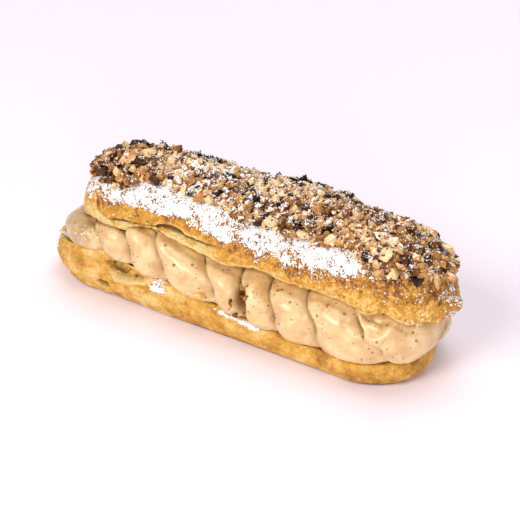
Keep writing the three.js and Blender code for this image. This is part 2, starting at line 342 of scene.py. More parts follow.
def lid_relief(points, normals, turn, station):
    """The lid's crust and crumb below its lip, its sugar, its bake, and painted shade and highlights."""
    x, y, z = points.T
    plan_y = unsettle(x, y)
    reach = LID.reach(x, plan_y)
    torn = torn_share(x, plan_y)
    outside = step_up(station, EDGE_ROW - 0.05, EDGE_ROW) * step_up(reach, 0.3, 0.5)
    below_lip = 1 - step_up(station, LIP_ROW, LIP_ROW + 0.02)
    folded = torn * step_up(station, TORN_ROW - 0.01, TORN_ROW) * below_lip
    below_fold = 1 - step_up(station, TORN_ROW - 0.02, TORN_ROW)
    crumb = torn * step_up(station, EDGE_ROW, EDGE_ROW + 0.04) * below_fold
    lip = torn * step_up(station, LIP_ROW - 0.02, LIP_ROW)
    bare = step_up(reach - bed_reach(x, plan_y), -0.08, 0.0)
    front = step_up(-y, 5, 12)
    crust = outside * bare
    depth = crust * (1 - folded) * (0.4 * lumps(points, 10, 2) + 0.2 * lumps(points, 3.5, 3, 2))
    depth += crumb * (0.8 * lumps(points, 2.2, 9, 3) + 0.3 * lumps(points, 0.9, 4))
    # The lumpy right end, and wrinkles in the crust at the left
    far_end = step_up(x, 60, 69) * step_up(38 - z, 0, 4)
    depth += outside * far_end * 0.7 * lumps(points, 2.6, 8, 3)
    wrinkles = hump(x, WRINKLES_X, 5) * front * hump(z, WRINKLES_Z, 3)
    ripple = np.sin(2.2 * x + 1.3 * z)
    depth += 0.55 * wrinkles * ripple
    # Icing sugar, thick above a ragged edge and light below it
    level = z + LID_ROLL * (y + 18)
    ragged = (1.5 + step_up(x, -5, 15)) * lumps(points, 4, 4, 3)
    fade = 1.6 + 2.6 * step_up(x, -5, 15)
    sugar = step_up(level - SUGAR_EDGE(x) + ragged, -0.6 * fade, fade)
    sugar *= 1 - step_up(x + 0.6 * (y + 16), 45, 60)
    sugar *= 1 - 0.35 * step_up(-x, 50, 60)
    sugar *= 1 - 0.75 * wrinkles
    thick = 0.72 - 0.22 * step_up(lumps(points, 5, 12, 2), 0.0, 0.5)
    light = 0.05 + 0.1 * step_up(x, -5, 15) + 0.16 * step_up(-x, 46, 56)
    sugar = np.maximum(thick * sugar, light * step_up(level, 32.5, 36.5))
    sugar = crust * np.maximum(sugar, 0.46 * far_end * step_up(lumps(points, 4, 10, 2), 0, 0.4))
    depth += 0.45 * bare * step_up(sugar, 0.25, 0.75) * (1 + 1.1 * lumps(points, 1.7, 5, 3))
    # How far the crust is baked, with painted highlights along two edges
    above_lip = z - LIP_EDGE(x)
    bake = 0.36 + 0.35 * lumps(points, 7, 6, 3) + 0.12 * step_up(x, 20, 60) - 0.3 * step_up(-x, 42, 52)
    bake += 0.08 * lip * hump(above_lip, 1.8, 1.3) + wrinkles * (0.4 + 0.4 * ripple)
    # Its last term is a painted highlight: a thin paler line along the lid's lower edge
    bake += 0.25 * step_up(level, 30.5, 35) + 0.5 * sugar - 0.3 * hump(station, EDGE_ROW + 0.01, 0.015)
    patchy = (0.06 + 0.2 * near(x, 22, 34)) * (0.8 + lumps(points, 3, 17, 2))
    bake += crust * front * patchy * hump(level - SUGAR_EDGE(x), -0.8, 1.6)
    bake += crust * (0.25 * lumps(points, 2.5, 15, 2) + 0.4 * step_up(x, 15, 35) * lumps(points, 0.9, 16, 2))
    # Its last term pales the lip's edge: paler crust there and a painted highlight
    bake += crumb * (0.5 * lumps(points, 1.8, 14, 2) - 0.45) - 0.4 * lip * hump(above_lip, 0, 0.4)
    # Painted shade on the crumb just below the lip
    hollow = torn * hump(station, TORN_ROW - 0.02, 0.035)
    return depth, {"sugar": sugar * (1 - folded) * (1 - crumb), "bake": bake, "hollow": hollow}


# Piped cream

CREAM = Bar(-0.3, 139.9, 49.6)
CREAM_TOP = along([-71.4, -55.4, -42.4, -30.4, -18.4, 74.6], [24.5, 28, 30.5, 34, 30.5, 30])
CREAM_SINK = 4.5
UPPER_SQUARENESS = 2.5
LOWER_SQUARENESS = 4
CREAM_ROLL = 0.12
# How deep the seams cut, as a share of the rope's radius, and a power that makes each coil fuller at
# its left
COIL_DEPTH = 0.26
COIL_SKEW = 0.75
COILS = 15
SEAM_PLACES = [-88, -66, -46.3, -34.7, -22.6, -2.9, 8.6, 19.7, 34.4, 52.5, 71, 92]
SEAM_PLACE = along(range(len(SEAM_PLACES)), SEAM_PLACES)
FRONT_SWEEP = along(
    [-0.25, -0.2, -0.15, -0.1, -0.07, 0, 0.05, 0.09, 0.12, 0.17, 0.25],
    [-0.5, -0.43, -0.32, -0.12, -0.04, 0, 0.11, 0.25, 0.33, 0.42, 0.5],
)
LAST_SEAM = 9
LAST_SWEEP = 0.24
PIECE_GAP = 0.3
FREE_REACH = 0.985
PRALINE_GAP_X = 8.4
BASIN_X, BASIN_Z = 53, 26.5
RIDGE_X, RIDGE_Z = 38, 26


def seam_sweep(around, number):
    """How far a seam has moved back along the bar, in coils, on its way round the rope.

    Around is -0.25 at the bottom, 0 at the front, 0.25 at the top and 0.5 at the back, which winds
    like the front. The last seam sweeps further.
    """
    sweep = np.where(around < 0.25, FRONT_SWEEP(around), 1 - FRONT_SWEEP(0.5 - around))
    return sweep - LAST_SWEEP * step_up(number, LAST_SEAM - 0.8, LAST_SEAM) * near(around, -0.09, 0.13)


def cream_skin(turn, station):
    """The rope of coils, from the middle of its underside round. The grid's rows follow the seams."""
    around = turn - 0.25
    number = np.floor(station * COILS)
    share = 0.5 - 0.5 * np.cos(math.pi * (station * COILS - number))
    number = number + share - 1
    x = SEAM_PLACE(number - seam_sweep(around, number))
    half_length = CREAM.straight + CREAM.radius
    x = np.clip(x, CREAM.centre - half_length, CREAM.centre + half_length)
    past_end = np.abs(x - CREAM.spine(x)) / CREAM.radius
    rounding = np.maximum(0, 1 - past_end**2.1) ** (1 / 2.1)
    side = 2 * share**COIL_SKEW - 1
    fullness = np.where(side < 0, 2.2, 1.9)
    bulge = np.maximum(0, 1 - np.abs(side) ** fullness) ** (1 / fullness)
    across = -np.cos(math.tau * around)
    upward = np.sin(math.tau * around)
    dip = COIL_DEPTH * (1 - step_up(x, 58, 68)) * (1 - 0.5 * step_up(across, -0.2, 0.6))
    size = rounding * (1 - dip * (1 - bulge) * rounding)
    squareness = np.where(upward > 0, UPPER_SQUARENESS, LOWER_SQUARENESS)
    radius = size * (np.abs(across) ** squareness + np.abs(upward) ** squareness) ** (-1 / squareness)
    low = RIM_HEIGHT(x) - CREAM_SINK
    high = CREAM_TOP(x)
    y = CREAM.radius * across * radius
    z = (high + low) / 2 + (high - low) / 2 * upward * radius - CREAM_ROLL * y
    return np.stack([x, settle(x, y), z], axis=1)


def cream_room(points):
    """How low and how high the cream may reach, clear of the base below and the lid above."""
    x, y, z = points.T
    plan_y = unsettle(x, y)
    base_reach = BASE.reach(x, plan_y)
    floor = TOP_OF_BASE(base_reach) * RIM_HEIGHT(x) + PIECE_GAP
    lid_reach = LID.reach(x, plan_y)
    under = UNDER_LID(lid_reach)
    ceiling = LID_EDGE + LID_RISE * under + lid_lean(x, plan_y) - PIECE_GAP
    ceiling += lid_rise(x, plan_y, under) * step_up(lid_reach, 0.75, 0.9)
    return base_reach, floor, lid_reach, ceiling


def squeeze(points):
    """Keeps the cream clear of its neighbours, as far out as FREE_REACH."""
    x, y, z = points.T
    base_reach, floor, lid_reach, ceiling = cream_room(points)
    floor = np.where(base_reach < FREE_REACH, floor, -np.inf)
    ceiling = np.where(lid_reach < FREE_REACH, ceiling, np.inf)
    return np.stack([x, y, np.clip(z, floor, np.maximum(ceiling, floor + 0.5))], axis=1)


def cream_relief(points, normals, turn, station):
    """The cream's seams, hollows and streaks, and its seam mark, which is mostly painted shade."""
    x, y, z = points.T
    front = step_up(-y, 8, 15)
    depth = 0.35 * lumps(points, 9, 1) + 0.14 * lumps(points, 2.5, 2, 3)
    # The praline gap, a basin at the right with a raised edge, and a small ridge
    depth -= 2.4 * front * hump(x, PRALINE_GAP_X, 1.8) * hump(z, 19.5, 6)
    wavy = 1 + 0.18 * lumps(points, 5, 8, 2)
    basin = np.hypot((x - BASIN_X) / 6.6, (z - BASIN_Z) / 5) * wavy
    inside = front * (1 - step_up(basin, 0.45, 1))
    depth -= inside * (1.9 - 0.8 * lumps(points, 2.8, 11, 2))
    depth += 0.8 * front * hump(basin, 1.12, 0.16) * step_up(28 - z, 0, 2)
    depth += 0.7 * front * hump(x - 0.4 * (z - 25), RIDGE_X, 0.7) * hump(z, RIDGE_Z, 1.8)
    streaks = points * (1, 1, 0.35) + 0.25 * points[:, [2, 0, 1]]
    depth += 0.11 * lumps(streaks, 1.8, 6, 2)
    # Seams between the coils, the last with a fuller edge
    share = station * COILS % 1
    away = np.minimum(share, 1 - share)
    last = (np.floor(station * COILS) == LAST_SEAM + 1) * front
    depth += last * (0.9 * hump(share, 0.2, 0.1) - 0.7 * np.exp(-share / 0.07) * step_up(25 - z, 0, 3))
    ends = CREAM.straight + CREAM.radius - np.abs(x - CREAM.centre)
    clear = step_up(ends, 1.5, 6) * (1 - step_up(x, 60, 66)) * (1 - inside)
    depth -= 0.7 * clear * np.exp(-away / 0.06)
    # Where the cream meets the lid and the base
    base_reach, floor, lid_reach, ceiling = cream_room(points)
    near_edge = hump(lid_reach, 0.96, 0.07)
    under_lid = near_edge * step_up(z - ceiling, -4, -1)
    over_base = hump(base_reach, 1.02, 0.08) * step_up(floor - z, -2.5, 0)
    depth -= 0.7 * under_lid + 0.6 * over_base
    # Painted shade in the seams, and darker, streaky cream at the left end
    seam = clear * (0.65 * np.exp(-away / 0.05) + 0.4 * np.exp(-away / 0.2))
    seam += step_up(-x, 47, 56) * (0.26 + 0.25 * step_up(lumps(streaks, 6, 5, 3), -0.2, 0.5))
    # Painted shade on the cream just under the lid's edge and just over the base's rim
    shaded = near_edge * step_up(z - ceiling, -2.2, -0.4)
    seam = np.maximum(seam, np.maximum(0.7 * shaded, 0.7 * over_base))
    # Browner cream with painted shade in the praline gap
    seam = np.maximum(seam, 0.9 * front * hump(x, PRALINE_GAP_X, 1.5) * hump(z, 18, 6))
    return depth * step_up(ends, 0, 3), {"seam": seam}


# Chopped nuts

FRONT_BED_REACH = along(
    [-63, -56, -45.5, -42, -32.6, -26, -15, -8, 8, 15, 24, 33, 41, 47.5, 55, 62, 70],
    [0.74, 0.72, 0.7, 0.73, 0.57, 0.5, 0.57, 0.58, 0.68, 0.66, 0.67, 0.68, 0.62, 0.71, 0.79, 0.78, 0.8],
)
BACK_BED_REACH = along([-63.4, -48.4, -3.4, 34.6, 50.6, 72.6], [0.76, 0.72, 0.7, 0.72, 0.79, 0.78])
BED_DEPTH = 1.9
CLUMP_X = 17.6
CLUMP_HALF = 18
CLUMP_DEPTH = 1.5
BED_SECTION_REACH = [0, 0.6, 0.96, 1, 0.99, 0.94, 0.78, 0.4, 0]
BED_SECTION_HEIGHT = [0.2, 0.2, 0.2, 0.3, 0.6, 0.85, 1, 1, 1]


def bed_reach(x, y):
    """Where the nuts end, as a share of the way from the lid's spine to its outline."""
    front = step_up(-y / LID.radius, -0.2, 0.2)
    return BACK_BED_REACH(x) + (FRONT_BED_REACH(x) - BACK_BED_REACH(x)) * front


def bed_depth(x, y):
    """How thick the crust is: more in the middle, and uneven where nuts have clumped."""
    plan = np.stack([x, y, 0 * x], axis=1)
    return BED_DEPTH + CLUMP_DEPTH * near(x, CLUMP_X, CLUMP_HALF) + 0.9 * lumps(plan, 7, 5, 2)


def bed_skin(turn, section):
    """The sticky bed below the nuts, from the middle of its underside to its top."""
    place = section * (len(BED_SECTION_REACH) - 1)
    stations = range(len(BED_SECTION_REACH))
    reach = along(stations, BED_SECTION_REACH)(place)
    height = along(stations, BED_SECTION_HEIGHT)(place)
    x, y = LID.spread(turn, reach)
    circle = np.stack([np.cos(math.tau * turn), np.sin(math.tau * turn), 0 * turn], axis=1)
    ragged = 1 + 0.05 * lumps(circle, 0.045, 7, 2)
    spine = LID.spine(x)
    share = bed_reach(x, y) * ragged
    plan_x = spine + share * (x - spine)
    return above_lid(plan_x, share * y, height * bed_depth(plan_x, share * y))


def bed_relief(points, normals, turn, section):
    """Lumps on the upper side of the bed, as of nuts that are stuck in it."""
    upper = step_up(normals[:, 2], -0.1, 0.3)
    depth = upper * (0.7 * lumps(points, 2.6, 1, 2) + 0.5 * lumps(points, 1.2, 2, 2))
    return depth, {}


# Pieces from grids and from many small shapes

def finished(name, mesh, marks, node, finish, faceted=False):
    """Puts a mesh in the scene as a piece that stands for a CAD node."""
    for mark, values in marks.items():
        layer = mesh.attributes.new(mark, "FLOAT", "POINT")
        layer.data.foreach_set("value", np.asarray(values, np.float32))
    mesh.materials.append(finish)
    if faceted:
        mesh.shade_flat()
    else:
        mesh.shade_smooth()
    piece = bpy.data.objects.new(name, mesh)
    bpy.context.scene.collection.objects.link(piece)
    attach(piece, "root")
    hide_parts(node)


def skin_mesh(name, steps, skin, relief, settle_last=None):
    """A closed mesh from a grid: skin bends it to its form and relief roughens its surface.

    Relief also gets each point's turn and station, which are its place on the grid. It gives how far
    each point moves outwards, and the marks that the finish reads.
    """
    shape = bmesh.new()
    bmesh.ops.create_grid(shape, x_segments=steps[0], y_segments=steps[1], size=0.5)
    layers = [shape.verts.layers.float.new(label) for label in ("turn", "station")]
    flat = np.array([vert.co[:2] for vert in shape.verts]) + 0.5
    for vert, spot, place in zip(shape.verts, skin(*flat.T).tolist(), flat.tolist()):
        vert.co = spot
        for layer, value in zip(layers, place):
            vert[layer] = value
    bmesh.ops.remove_doubles(shape, verts=shape.verts, dist=0.003)
    bmesh.ops.recalc_face_normals(shape, faces=shape.faces)
    shape.normal_update()
    points = np.array([vert.co for vert in shape.verts])
    normals = np.array([vert.normal for vert in shape.verts])
    turn, station = np.array([[vert[layer] for layer in layers] for vert in shape.verts]).T
    depth, marks = relief(points, normals, turn, station)
    points = points + normals * depth[:, None]
    if settle_last:
        points = settle_last(points)
    for vert, spot in zip(shape.verts, (points * MM).tolist()):
        vert.co = spot
    mesh = bpy.data.meshes.new(name)
    shape.to_mesh(mesh)
    shape.free()
    return mesh, marks


def chip_shapes(count, corners, proportions, rng):
    """Chopped chips of about unit radius: rough hulls with skin on one side."""
    shapes = []
    for _ in range(count):
        shape = bmesh.new()
        spots = rng.normal(size=(corners, 3))
        spots /= np.linalg.norm(spots, axis=1, keepdims=True)
        spots *= rng.uniform(0.8, 1.15, (corners, 1)) * np.array(proportions) * rng.uniform(0.75, 1.25, 3)
        for spot in spots:
            shape.verts.new(spot)
        bmesh.ops.convex_hull(shape, input=shape.verts)
        loose = [vert for vert in shape.verts if not vert.link_faces]
        bmesh.ops.delete(shape, geom=loose, context="VERTS")
        bmesh.ops.remove_doubles(shape, verts=shape.verts, dist=0.01)
        bmesh.ops.recalc_face_normals(shape, faces=shape.faces)
        shape.verts.index_update()
        points = np.array([vert.co for vert in shape.verts])
        faces = [[vert.index for vert in face.verts] for face in shape.faces]
        side = rng.normal(size=3)
        skin = step_up(points @ (side / np.linalg.norm(side)), 0.25, 0.55)
        shapes.append((points, faces, skin))
        shape.free()
    return shapes


def joined(shapes, picks, places):
    """The corners, faces and skin of many placed shapes, and how many corners each has."""
    points = []
    faces = []
    start = 0
    for pick, place in zip(picks, places):
        corners, sides, _ = shapes[pick]
        points.append(corners @ place[:3, :3].T + place[:3, 3])
        faces.extend([corner + start for corner in side] for side in sides)
        start += len(corners)
    skins = np.concatenate([shapes[pick][2] for pick in picks])
    return np.concatenate(points), faces, skins, [len(corners) for corners in points]


def lying(spot, way, radius, tilt, rng):
    """A placing that lays a shape's short Z axis along a direction, turned and tilted at random."""
    lean = Vector(way) + Vector(rng.normal(size=3)) * tilt
    turn = lean.to_track_quat("Z", "Y").to_matrix() @ Matrix.Rotation(rng.uniform(0, math.tau), 3, "Z")
    place = np.eye(4)
    place[:3, :3] = np.array(turn) * radius
    place[:3, 3] = spot
    return place


# Finishes

def add_node(tree, kind, inputs=None, **options):
    """Adds a shader node. Inputs are numbers, colours, nodes or sockets, by the socket's identifier."""
    node = tree.nodes.new("ShaderNode" + kind)
    for option, value in options.items():
        setattr(node, option, value)
    for key, value in (inputs or {}).items():
        socket = next(socket for socket in node.inputs if socket.identifier == key)
        if isinstance(value, bpy.types.Node):
            value = next(output for output in value.outputs if output.enabled)
        if isinstance(value, bpy.types.NodeSocket):
            tree.links.new(value, socket)
        elif socket.type == "RGBA":
            socket.default_value = (*value, 1)
        else:
            socket.default_value = value
    return node


def per(size):
    """The scale of a pattern whose marks are size millimetres across."""
    return 1 / (size * MM)


def start_finish(name):
    """A new empty material, add_node for its node tree, and its Object coordinates."""
    finish = bpy.data.materials.new(name)
    finish.use_nodes = True
    finish.node_tree.nodes.clear()
    add = partial(add_node, finish.node_tree)
    return finish, add, add("TexCoord").outputs["Object"]


def icing_cover(add, place, amount):
    """How far icing sugar hides what is below, thinning out in a ragged way.

    Its grains are too fine to show, so clumps of about half a millimetre are drawn.
    """
    for size, weight in ((1.9, 1.2), (0.5, 1.7)):
        clumps = add("TexNoise", {"Vector": place, "Scale": per(size), "Detail": 2.0})
        shift = {"Value": clumps, "Value_001": weight, "Value_002": -0.5 * weight}
        uneven = add("Math", shift, operation="MULTIPLY_ADD")
        amount = add("Math", {"Value": amount, "Value_001": uneven}, operation="ADD")
    edge = {"Value": amount, "From Min": 0.45, "From Max": 0.56}
    return add("MapRange", edge, interpolation_type="SMOOTHSTEP")


def baked_choux(name, choux, gold, white, mottle_size, mottling, speckle):
    """Baked choux: a dry matt crust from straw to chestnut, finely pitted, with icing sugar on it."""
    finish, add, place = start_finish(name)
    bake, hollow, sugar = (
        add("Attribute", attribute_name=mark).outputs["Fac"] for mark in ("bake", "hollow", "sugar")
    )
    mottle = add("TexNoise", {"Vector": place, "Scale": per(mottle_size), "Detail": 6.0, "Roughness": 0.75})
    fleck = add("TexNoise", {"Vector": place, "Scale": per(0.6), "Detail": 3.0, "Roughness": 0.7})
    shift = {"Value": mottle, "Value_001": mottling, "Value_002": -0.5 * mottling}
    mixed = add("Math", shift, operation="MULTIPLY_ADD")
    baked = add("Math", {"Value": bake, "Value_001": mixed}, operation="ADD")
    cover = icing_cover(add, place, sugar)
    toasted = linear("#623509")
    # Where each coat of colour starts and is full, how far it then covers, and its colour
    coats = [
        (baked, 0.0, 0.5, 1.0, gold),
        (baked, 0.5, 1.2, 1.0, choux.brown),
        (fleck, 0.54, 0.68, speckle, toasted),
        (fleck, 0.45, 0.33, 0.6 * speckle, choux.pale),
        # Painted shade in the torn holes, above the scar and below the lid's lip
        (hollow, 0.0, 1.0, 1.0, linear("#684619")),
        (sugar, 0.3, 0.7, 0.8, toasted),
        (cover, 0.0, 1.0, 1.0, white),
    ]
    colour = choux.pale
    for mark, low, high, most, coat in coats:
        share = add("MapRange", {"Value": mark, "From Min": low, "From Max": high, "To Max": most})
        colour = add("Mix", {"Factor_Float": share, "A_Color": colour, "B_Color": coat}, data_type="RGBA")
    rough = add("MapRange", {"Value": cover, "To Min": 0.6, "To Max": 0.95})
    height = add("Math", {"Value": mottle, "Value_001": fleck}, operation="ADD")
    bump = add("Bump", {"Height": height, "Strength": 0.8, "Distance": choux.grain * MM})
    shader = add(
        "BsdfPrincipled",
        {
            "Base Color": colour,
            "Roughness": rough,
            "IOR": 1.4,
            "Subsurface Weight": 0.12,
            "Subsurface Radius": (2.0, 1.0, 0.5),
            "Subsurface Scale": MM,
            "Normal": bump,
        },
    )
    add("OutputMaterial", {"Surface": shader})
    return finish


# The specks' spacing in millimetres, their largest size as a share of it, the share of places that have
# none, and how strong they are
SPECKS = [(2.6, 0.24, 0.38, 0.85), (5.5, 0.13, 0.45, 0.75), (1.3, 0.27, 0.4, 0.7)]


def praline_cream(cream):
    """Piped praline cream: smooth and fatty with a soft sheen, and flecked with ground praline."""
    finish, add, place = start_finish("praline_cream")
    clouds = add("TexNoise", {"Vector": place, "Scale": per(5), "Detail": 5.0, "Roughness": 0.6})
    patches = add("MapRange", {"Value": clouds, "From Min": 0.35, "From Max": 0.65})
    seam = add("Attribute", attribute_name="seam").outputs["Fac"]
    # The seam mark lays painted shade in the seams and gaps, and darkens the left end
    coats = [(patches, cream.tint), (seam, cream.seams)]
    # Shaken coordinates make the specks ragged
    waver = add("TexNoise", {"Vector": place, "Scale": per(0.7), "Detail": 2.0})
    shake = {"Vector": waver.outputs["Color"], "Vector_001": (0.5 * MM,) * 3, "Vector_002": place}
    shaken = add("VectorMath", shake, operation="MULTIPLY_ADD")
    for spacing, size, rarity, strength in SPECKS:
        cells = add("TexVoronoi", {"Vector": shaken, "Scale": per(spacing)})
        chance = add("SeparateColor", {"Color": cells.outputs["Color"]})
        rare = add("Math", {"Value": chance, "Value_001": rarity}, operation="SUBTRACT")
        reach = add("Math", {"Value": rare, "Value_001": size / (1 - rarity)}, operation="MULTIPLY")
        inside = add("Math", {"Value": reach, "Value_001": cells.outputs["Distance"]}, operation="SUBTRACT")
        edge = {"Value": inside, "From Min": -0.02, "From Max": 0.03, "To Max": strength}
        coats.append((add("MapRange", edge), cream.specks))
    colour = cream.cream
    for share, coat in coats:
        colour = add("Mix", {"Factor_Float": share, "A_Color": colour, "B_Color": coat}, data_type="RGBA")
    fine = add("TexNoise", {"Vector": place, "Scale": per(1.2), "Detail": 3.0})
    bump = add("Bump", {"Height": fine, "Strength": 0.18, "Distance": 0.25 * MM})
    shader = add(
        "BsdfPrincipled",
        {
            "Base Color": colour,
            "Roughness": 0.4,
            "IOR": 1.45,
            "Coat Weight": 1.0,
            "Coat Roughness": 0.33,
            "Subsurface Weight": 0.3,
            "Subsurface Radius": (2.4, 1.4, 0.7),
            "Subsurface Scale": MM,
            "Normal": bump,
        },
    )
    add("OutputMaterial", {"Surface": shader})
    return finish


def roasted_nut(name, light, deep, white, gloss):
    """Chopped roasted nuts: oily broken faces in uneven browns, with icing sugar on what faces up."""
    finish, add, place = start_finish(name)
    tone_and_shade, dust = (add("Attribute", attribute_name=mark).outputs["Fac"] for mark in ("tone_and_shade", "dust"))
    grain = add("TexNoise", {"Vector": place, "Scale": per(0.9), "Detail": 4.0, "Roughness": 0.65})
    shift = {"Value": grain, "Value_001": 1.8, "Value_002": -0.9}
    uneven = add("Math", shift, operation="MULTIPLY_ADD")
    depth = add("Math", {"Value": uneven, "Value_001": tone_and_shade}, operation="ADD", use_clamp=True)
    facing = add("SeparateXYZ", {"Vector": add("NewGeometry").outputs["Normal"]})
    upward = add("MapRange", {"Value": facing.outputs["Z"], "From Min": 0.2, "From Max": 0.95})
    amount = add("Math", {"Value": upward, "Value_001": dust}, operation="MULTIPLY")
    cover = icing_cover(add, place, amount)
    colour = light
    for share, coat in ((depth, deep), (cover, white)):
        colour = add("Mix", {"Factor_Float": share, "A_Color": colour, "B_Color": coat}, data_type="RGBA")
    rough = add("MapRange", {"Value": cover, "To Min": gloss, "To Max": 0.95})
    bump = add("Bump", {"Height": grain, "Strength": 0.6, "Distance": 0.3 * MM})
    shader = add(
        "BsdfPrincipled",
        {"Base Color": colour, "Roughness": rough, "IOR": 1.38, "Specular IOR Level": 0.35, "Normal": bump},
    )
    add("OutputMaterial", {"Surface": shader})
    return finish


def icing_sugar(white):
    """Icing sugar in small clumps: dull and white, with a faint warmer grain."""
    finish, add, place = start_finish("icing_sugar")
    grain = add("TexNoise", {"Vector": place, "Scale": per(0.5), "Detail": 3.0})
    layers = {"Factor_Float": grain, "A_Color": white, "B_Color": linear("#efe9e2")}
    shade = add("Mix", layers, data_type="RGBA")
    bump = add("Bump", {"Height": grain, "Strength": 0.5, "Distance": 0.2 * MM})
    shader = add("BsdfPrincipled", {"Base Color": shade, "Roughness": 0.95, "Normal": bump})
    add("OutputMaterial", {"Surface": shader})
    return finish


# Settings a user would change

def colour_setting(name, description, code):
    return FloatVectorProperty(
        name=name, description=description, subtype="COLOR", size=3, min=0, max=1, default=linear(code)
    )


def power_setting(name, watts):
    return FloatProperty(name=name, description=f"Power of the {name.lower()}", default=watts, unit="POWER")


class ChouxSettings(bpy.types.PropertyGroup):
    """Colours of the two baked halves."""

    pale: colour_setting("Pale crust", "Crust and crumb that took little colour", "#eed28c")
    gold: colour_setting("Golden crust", "Most of the crust", "#dda643")
    lid_gold: colour_setting("Golden lid", "Most of the lid's crust, which took more colour", "#e0a236")
    brown: colour_setting("Brown crust", "Crust that caught the heat", "#86490f")
    grain: FloatProperty(
        name="Grain", description="Depth of the fine pits, in millimetres", default=0.5, min=0, max=2
    )


class CreamSettings(bpy.types.PropertyGroup):
    """Colours of the piped cream."""

    cream: colour_setting("Cream", "The cream itself", "#eed49c")
    tint: colour_setting("Tint", "Cream with more praline ground into it", "#d8ad71")
    # The seam mark's colour: painted shade in the seams and gaps, and a darker left end
    seams: colour_setting("Seams", "Cream deep in the seams between coils", "#7a4c1e")
    specks: colour_setting("Specks", "Ground praline in the cream", "#8a5426")


class NutSettings(bpy.types.PropertyGroup):
    """How many nuts there are, how large and in what colours."""

    count: IntProperty(name="Count", description="Nuts that are tried", default=3400, min=0, max=6000)
    largest: FloatProperty(
        name="Largest", description="Radius of the largest chip, in millimetres", default=2.1, min=0.5, max=6
    )
    smallest: FloatProperty(
        name="Smallest",
        description="Radius of the smallest chip, in millimetres",
        default=0.6,
        min=0.2,
        max=3,
    )
    crumbs: IntProperty(
        name="Crumbs", description="Fine crumbs between and on the nuts", default=1800, min=0, max=6000
    )
    straw: colour_setting("Straw", "Inside of a broken nut", "#f0d09a")
    caramel: colour_setting("Caramel", "Roasted and caramelised faces", "#bd8446")
    brown: colour_setting("Brown", "Dark roasted faces", "#60330d")
    skin: colour_setting("Skin", "Nut skin, nearly black", "#291207")
    # Caramel darkened to nearly black as painted shade in the gaps between the nuts
    bed: colour_setting("Bed", "Caramel in the gaps between the nuts", "#281203")


class SugarSettings(bpy.types.PropertyGroup):
    """Icing sugar."""

    white: colour_setting("Icing sugar", "Icing sugar", "#fdfbf8")
    grains: IntProperty(
        name="Grains",
        description="Loose grains on the lid, and as many tried on the nuts",
        default=1500,
        min=0,
        max=6000,
    )


class StageSettings(bpy.types.PropertyGroup):
    """Floor and light."""

    floor: colour_setting("Floor", "Plain floor", "#fbf2fb")
    key_power: power_setting("Key light", 5.0)
    fill_power: power_setting("Fill light", 2.9)
    top_power: power_setting("Top light", 3.6)
    back_power: power_setting("Back light", 1.2)
    sky: FloatProperty(name="Surroundings", description="Light from all round", default=0.42, min=0)


# Operators

class PASTRY_OT_choux_base(bpy.types.Operator):
    """Adds the lower half of the choux bar"""

    bl_idname = "pastry.choux_base"
    bl_label = "Choux base"

    def execute(self, context):
        choux = context.scene.choux
        white = context.scene.sugar.white
        finish = baked_choux(
            "golden_choux", choux, choux.gold, white, mottle_size=3.4, mottling=2.2, speckle=0.34
        )
        mesh, marks = skin_mesh("choux_base_shell", (660, 110), base_skin, base_relief)
        finished("choux_base_shell", mesh, marks, "choux_base", finish)
        return {"FINISHED"}


class PASTRY_OT_praline_cream(bpy.types.Operator):
    """Adds the piped rope of praline cream"""

    bl_idname = "pastry.praline_cream"
    bl_label = "Praline cream"

    def execute(self, context):
        finish = praline_cream(context.scene.cream)
        mesh, marks = skin_mesh("piped_cream", (160, 40 * COILS), cream_skin, cream_relief, squeeze)
        finished("piped_cream", mesh, marks, "praline_cream", finish)
        return {"FINISHED"}


class PASTRY_OT_choux_lid(bpy.types.Operator):
    """Adds the upper half of the choux bar with its icing sugar"""

    bl_idname = "pastry.choux_lid"
    bl_label = "Choux lid"

    def execute(self, context):
        choux = context.scene.choux
        white = context.scene.sugar.white
        finish = baked_choux(
            "sugared_choux", choux, choux.lid_gold, white, mottle_size=1.7, mottling=2.4, speckle=0.6
        )
        mesh, marks = skin_mesh("choux_lid_shell", (660, 150), lid_skin, lid_relief)
        finished("choux_lid_shell", mesh, marks, "choux_lid", finish)
        return {"FINISHED"}


NUT_SEED = 7
STRAW, CARAMEL, DARK = range(3)
# The large nuts' places along and across the lid, their radii and their roasts
LARGE_NUTS = [
    (-52.7, 2.4, 2.8, DARK),
    (-45.8, 3.2, 2.0, DARK),
    (-49.0, -12.0, 2.4, DARK),
    (-39.6, -10.5, 2.5, STRAW),
    (-35.0, -9.9, 2.3, STRAW),
    (-42.5, -13.6, 2.3, CARAMEL),
    (-38.4, -3.7, 2.2, STRAW),
    (-43.6, -6.9, 2.6, STRAW),
    (-30.1, -11.7, 2.2, DARK),
    (-12.3, -12.9, 2.4, CARAMEL),
    (-8.8, -11.8, 2.4, STRAW),
    (-4.9, -6.5, 2.3, CARAMEL),
    (-1.1, -6.0, 2.4, CARAMEL),
    (-7.1, -9.5, 2.0, DARK),
    (6.4, -8.9, 2.2, DARK),
    (14.6, -13.2, 2.2, STRAW),
    (16.6, -8.9, 1.9, CARAMEL),
    (35.4, -12.6, 2.1, STRAW),
    (54.4, -12.6, 2.7, STRAW),
    (63.2, -11.8, 2.2, DARK),
    (67.2, -7.3, 2.2, STRAW),
    (62.5, -8.6, 2.0, CARAMEL),
]
NUT_SHAPES = 16
CRUMB_SHAPES = 10
NUT_SPAN = (-64, 73)


def dusting(x):
    """How much icing sugar fell on the nuts: most from the left to the middle."""
    middle = 0.28 * step_up(x, -38, -24) * (1 - step_up(x, 2, 28))
    return 0.38 + middle - 0.08 * step_up(-x, 38, 46) + 0.07 * step_up(x, 10, 30)


def in_bed(rng, beyond):
    """A random plan point where the lid carries nuts."""
    while True:
        x = rng.uniform(*NUT_SPAN)
        y = rng.uniform(-LID.radius, LID.radius)
        if LID.reach(x, y) < bed_reach(x, y) + beyond:
            return np.array([x]), np.array([y])


